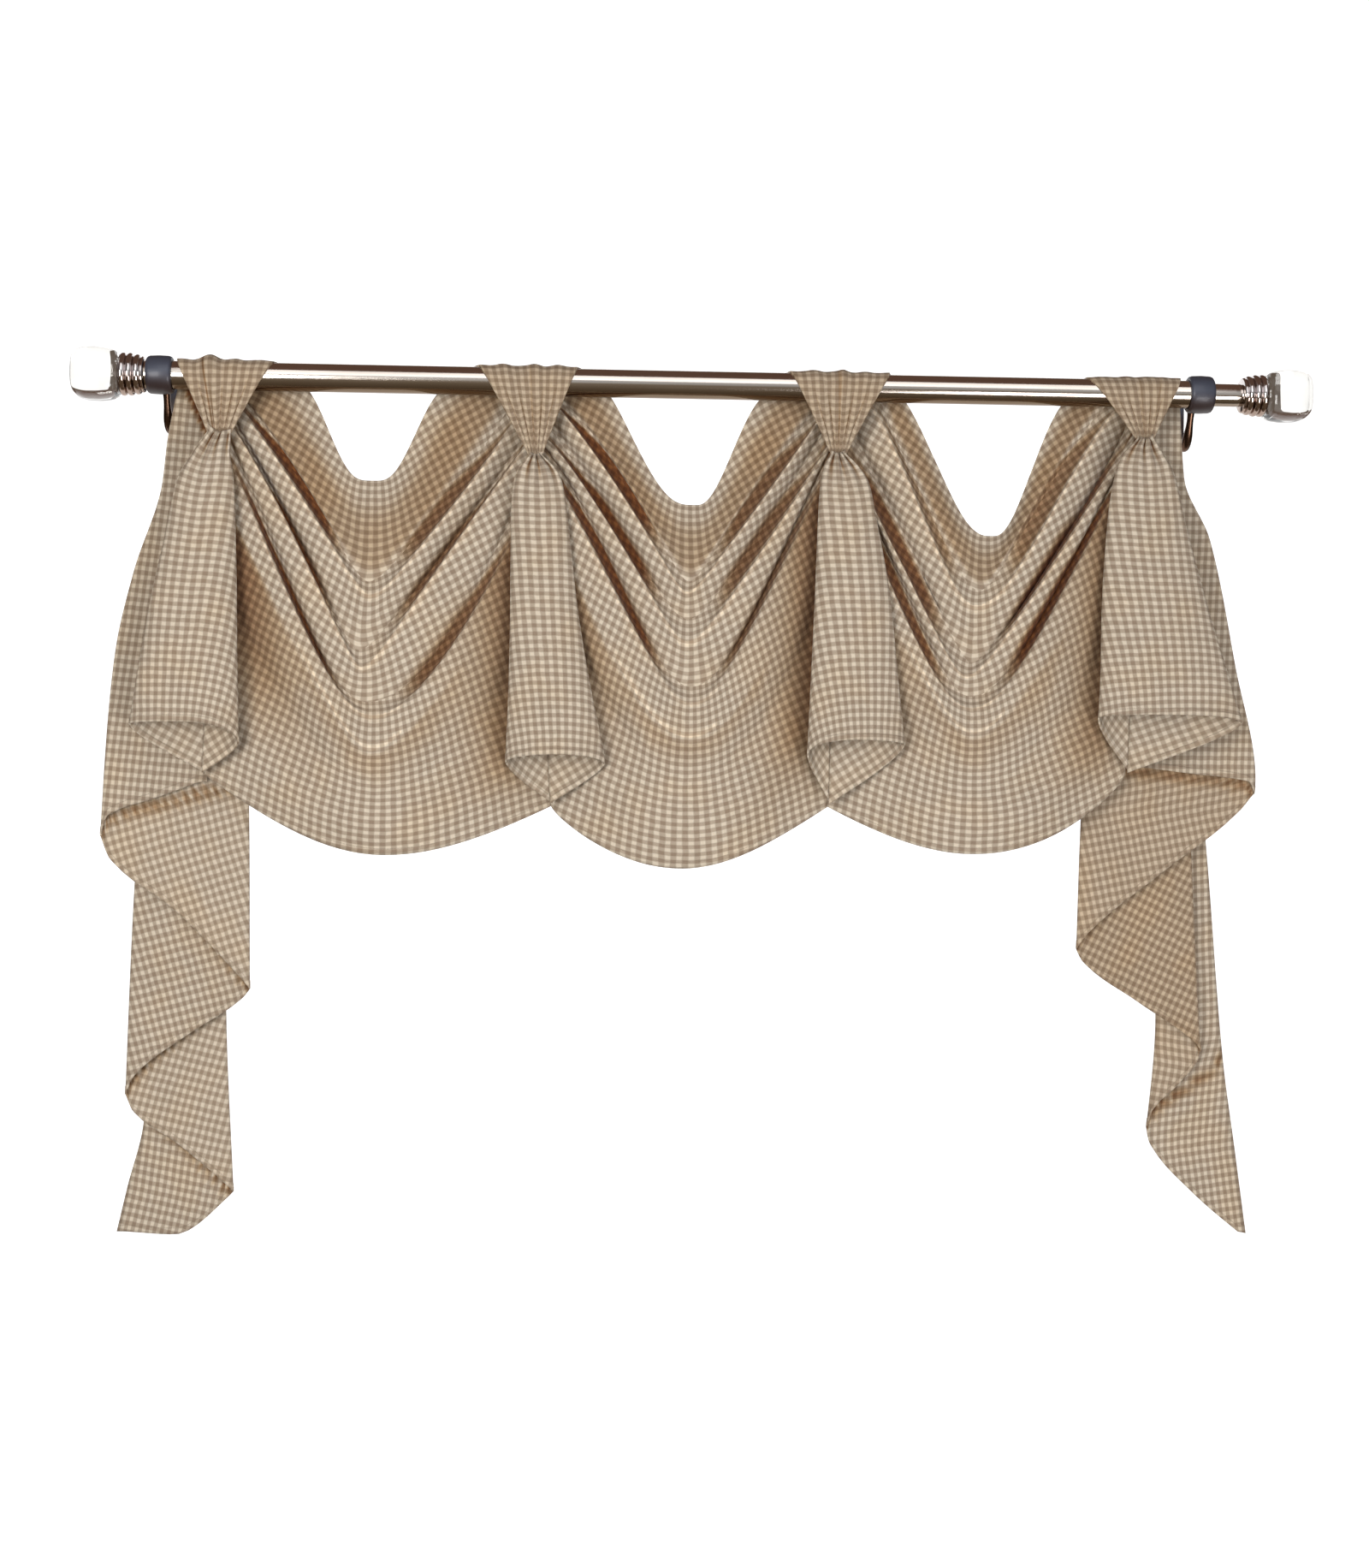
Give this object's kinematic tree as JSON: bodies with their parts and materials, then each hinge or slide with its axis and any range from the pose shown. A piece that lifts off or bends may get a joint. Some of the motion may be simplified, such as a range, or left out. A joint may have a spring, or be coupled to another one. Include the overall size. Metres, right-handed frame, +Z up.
{
  "type": "swag and tail drape on curtain rod",
  "caption": "Gingham cotton valance of gathered swags, flared horns and zigzag-pleated end tails, hung by sewn tabs on a telescoping metal rod with glass knob finials.",
  "frame": {"origin": "on the wall plane, midway between the two rod brackets, at the height of the rod's axis", "axes": "+X along the rod to the viewer's right, +Z up, +Y from the room into the wall, so the drape hangs in front of the wall on the -Y side"},
  "size_m": [1.1604, 0.1306, 0.8284],
  "materials": {
    "gingham_cotton": "taupe and cream woven check",
    "rod_metal": "brushed bronze",
    "collar_metal": "polished",
    "bracket_metal": "dark slate",
    "knob_glass": "clear"
  },
  "bodies": {
    "root": {"swag_left": "gingham_cotton", "swag_mid": "gingham_cotton", "swag_right": "gingham_cotton", "horn_1": "gingham_cotton", "horn_2": "gingham_cotton", "horn_3": "gingham_cotton", "horn_4": "gingham_cotton", "tail_left": "gingham_cotton", "tail_right": "gingham_cotton", "tab_1": "gingham_cotton", "tab_2": "gingham_cotton", "tab_3": "gingham_cotton", "tab_4": "gingham_cotton", "rod_outer": "rod_metal", "rod_inner": "rod_metal", "finial_collar_left": "collar_metal", "finial_collar_right": "collar_metal", "finial_knob_left": "knob_glass", "finial_knob_right": "knob_glass", "bracket_left": "bracket_metal", "bracket_right": "bracket_metal"}
  },
  "joints": []
}
